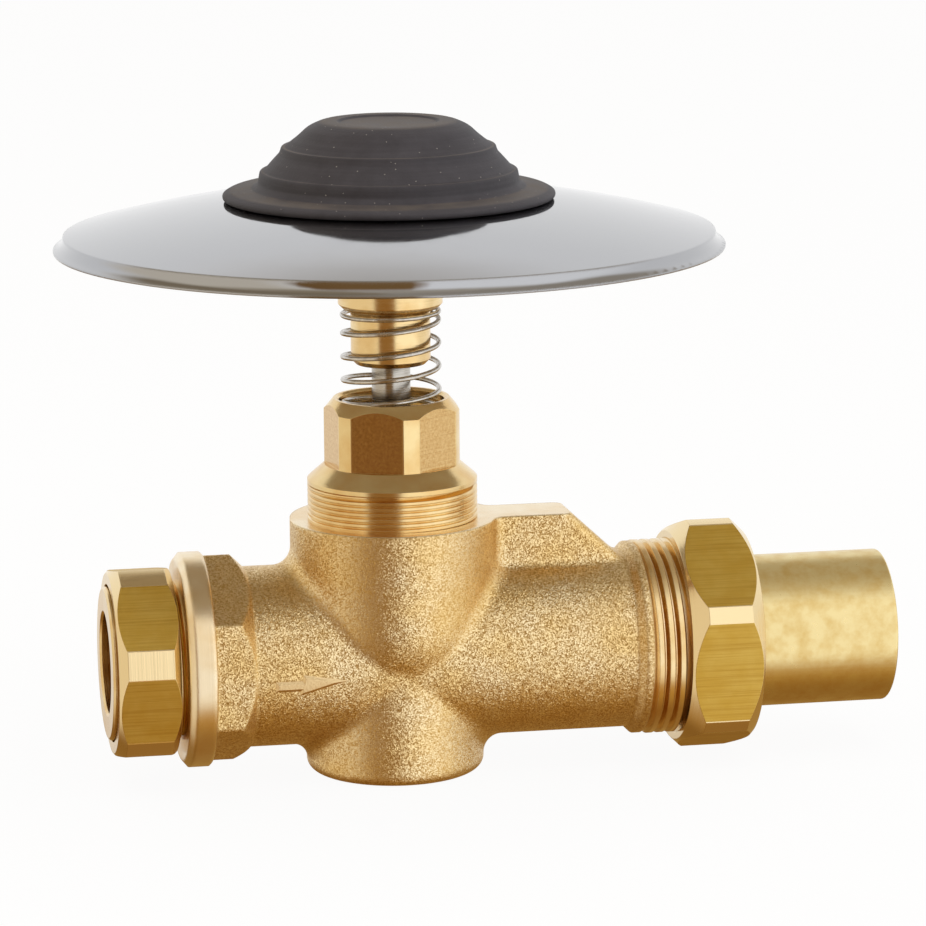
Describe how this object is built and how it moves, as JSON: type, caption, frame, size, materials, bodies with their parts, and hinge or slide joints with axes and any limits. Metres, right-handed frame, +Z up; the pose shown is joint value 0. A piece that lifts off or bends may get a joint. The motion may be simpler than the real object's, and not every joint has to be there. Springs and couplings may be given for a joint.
{
  "type": "pedal flush valve",
  "caption": "Foot-operated flush valve: cast brass body with hexagon inlet, union-nut outlet tail, sprung stem, domed chrome pedal plate and stepped rubber pad.",
  "frame": {"origin": "centre of the flat foot under the body, straight below the stem", "axes": "+Z up the stem to the pedal, +X along the pipe from the inlet to the outlet tail"},
  "size_m": [0.1516, 0.1204, 0.1189],
  "materials": {
    "cast_brass": "sand-cast, fine bright grain",
    "turned_brass": "turned, satin",
    "milled_brass": "milled flats with fine straight lines",
    "drawn_brass": "drawn tube, smooth",
    "chrome_plate": "polished",
    "pad_rubber": "matte, moulded",
    "seal_rubber": "smooth",
    "fibre": "pressed fibre",
    "steel": "bright"
  },
  "bodies": {
    "valve": {"valve_body": "cast_brass", "headwork": "turned_brass", "gland_bush": "turned_brass", "seal_spacer": "turned_brass", "seat_ring": "turned_brass", "inlet_olive": "turned_brass", "inlet_screw": "milled_brass", "inlet_ring": "milled_brass", "union_nut": "milled_brass", "outlet_tail": "drawn_brass", "stem_seal_upper": "seal_rubber", "stem_seal_lower": "seal_rubber", "seat_o_ring": "seal_rubber", "headwork_gasket": "fibre", "union_gasket": "fibre", "return_spring": "steel"},
    "pedal": {"plunger": "turned_brass", "stem": "steel", "valve_disc": "turned_brass", "valve_washer": "seal_rubber", "disc_nut": "turned_brass", "pedal_plate": "chrome_plate", "pad_retainer": "turned_brass", "plate_screw": "steel", "pedal_pad": "pad_rubber"}
  },
  "joints": [
    {"name": "pedal_press", "type": "slide", "parent": "valve", "child": "pedal", "axis": [0, 0, -1], "range_m": [0, 0.008], "stiffness_N_per_m": 1400, "springref_m": -0.01, "deforming": ["return_spring"]}
  ]
}
